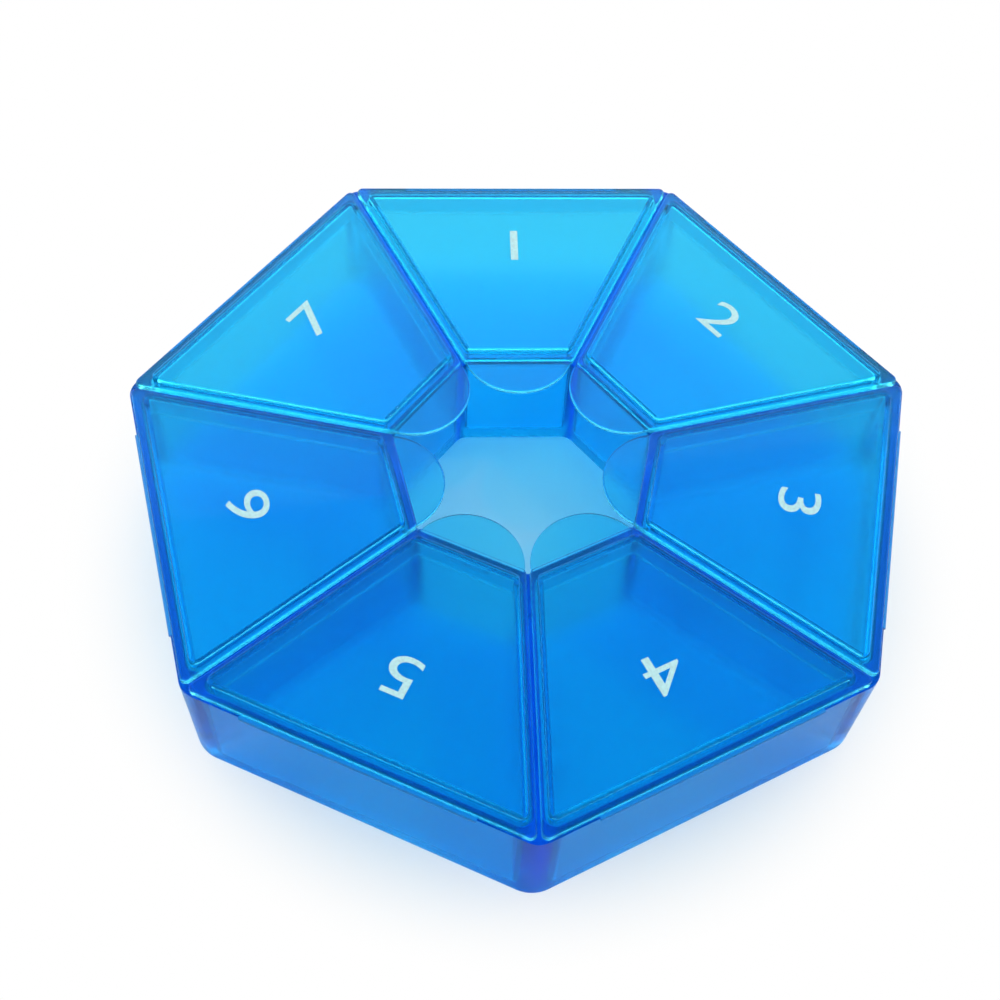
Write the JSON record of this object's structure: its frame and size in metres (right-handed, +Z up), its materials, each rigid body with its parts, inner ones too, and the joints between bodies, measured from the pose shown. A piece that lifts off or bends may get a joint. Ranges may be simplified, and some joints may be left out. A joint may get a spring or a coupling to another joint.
{
  "type": "pill organizer",
  "caption": "Heptagonal ring box with an open middle, for tablets sorted by day, each compartment closed by a lid on a moulded hinge with a half-moon finger tab.",
  "frame": {"origin": "on the ring's axis, in the plane of the face that the organizer stands on", "axes": "+Z up along the ring's axis, out of the lids; +Y towards the middle of day 1's side; +X along that side, so that the days run clockwise seen from above"},
  "size_m": [0.1096, 0.1073, 0.0201],
  "materials": {
    "blue_plastic": "translucent blue injection-moulded plastic, polished, with faint scuffs",
    "white_print": "thin white pad print on the lids"
  },
  "bodies": {
    "tray": {"tray": "blue_plastic", "hinge_day_1": "blue_plastic", "hinge_day_2": "blue_plastic", "hinge_day_3": "blue_plastic", "hinge_day_4": "blue_plastic", "hinge_day_5": "blue_plastic", "hinge_day_6": "blue_plastic", "hinge_day_7": "blue_plastic"},
    "lid_day_1": {"lid_day_1": "blue_plastic"},
    "lid_day_2": {"lid_day_2": "blue_plastic"},
    "lid_day_3": {"lid_day_3": "blue_plastic"},
    "lid_day_4": {"lid_day_4": "blue_plastic"},
    "lid_day_5": {"lid_day_5": "blue_plastic"},
    "lid_day_6": {"lid_day_6": "blue_plastic"},
    "lid_day_7": {"lid_day_7": "blue_plastic"}
  },
  "joints": [
    {"name": "lid_day_1_hinge", "type": "hinge", "parent": "tray", "child": "lid_day_1", "pos_m": [0, 0.05097, 0.0183], "axis": [-1, 0, 0], "range_deg": [0, 180]},
    {"name": "lid_day_2_hinge", "type": "hinge", "parent": "tray", "child": "lid_day_2", "pos_m": [0.03985, 0.03178, 0.0183], "axis": [-0.6235, 0.7818, 0], "range_deg": [0, 180]},
    {"name": "lid_day_3_hinge", "type": "hinge", "parent": "tray", "child": "lid_day_3", "pos_m": [0.0497, -0.01134, 0.0183], "axis": [0.2225, 0.9749, 0], "range_deg": [0, 180]},
    {"name": "lid_day_4_hinge", "type": "hinge", "parent": "tray", "child": "lid_day_4", "pos_m": [0.02212, -0.04593, 0.0183], "axis": [0.901, 0.4339, 0], "range_deg": [0, 180]},
    {"name": "lid_day_5_hinge", "type": "hinge", "parent": "tray", "child": "lid_day_5", "pos_m": [-0.02212, -0.04593, 0.0183], "axis": [0.901, -0.4339, 0], "range_deg": [0, 180]},
    {"name": "lid_day_6_hinge", "type": "hinge", "parent": "tray", "child": "lid_day_6", "pos_m": [-0.0497, -0.01134, 0.0183], "axis": [0.2225, -0.9749, 0], "range_deg": [0, 180]},
    {"name": "lid_day_7_hinge", "type": "hinge", "parent": "tray", "child": "lid_day_7", "pos_m": [-0.03985, 0.03178, 0.0183], "axis": [-0.6235, -0.7818, 0], "range_deg": [0, 180]}
  ]
}
